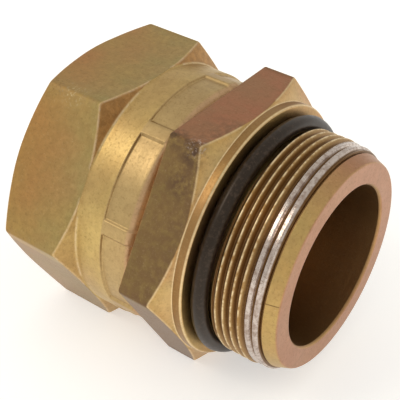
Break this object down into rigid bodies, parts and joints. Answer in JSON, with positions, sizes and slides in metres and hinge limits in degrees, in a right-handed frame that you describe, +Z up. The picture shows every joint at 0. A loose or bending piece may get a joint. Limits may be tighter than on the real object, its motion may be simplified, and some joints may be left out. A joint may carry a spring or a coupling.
{
  "type": "swivel nut stud adapter",
  "caption": "Straight steel adapter for conduit or pipe: an O-ring sealed male stud in front and a hexagon nut that swivels on the tail behind.",
  "frame": {"origin": "on the fitting's axis, halfway between the stud's front face and the nut's rear face", "axes": "+X along the axis, out of the stud; +Z up, square to a pair of flats on both hexagons; +Y to the left of +X"},
  "size_m": [0.0538, 0.0554, 0.048],
  "materials": {
    "body_zinc": "steel, yellow zinc chromate plating, machined",
    "nut_zinc": "steel, yellow zinc chromate plating, drawn flats",
    "stud_rubber": "smooth nitrile rubber",
    "cone_rubber": "smooth nitrile rubber"
  },
  "bodies": {
    "body": {"adapter_body": "body_zinc", "stud_o_ring": "stud_rubber", "cone_o_ring": "cone_rubber"},
    "nut": {"swivel_nut": "nut_zinc"}
  },
  "joints": [
    {"name": "nut_spin", "type": "hinge", "parent": "body", "child": "nut", "pos_m": [-0.0134, 0, 0], "axis": [1, 0, 0], "continuous": true}
  ]
}
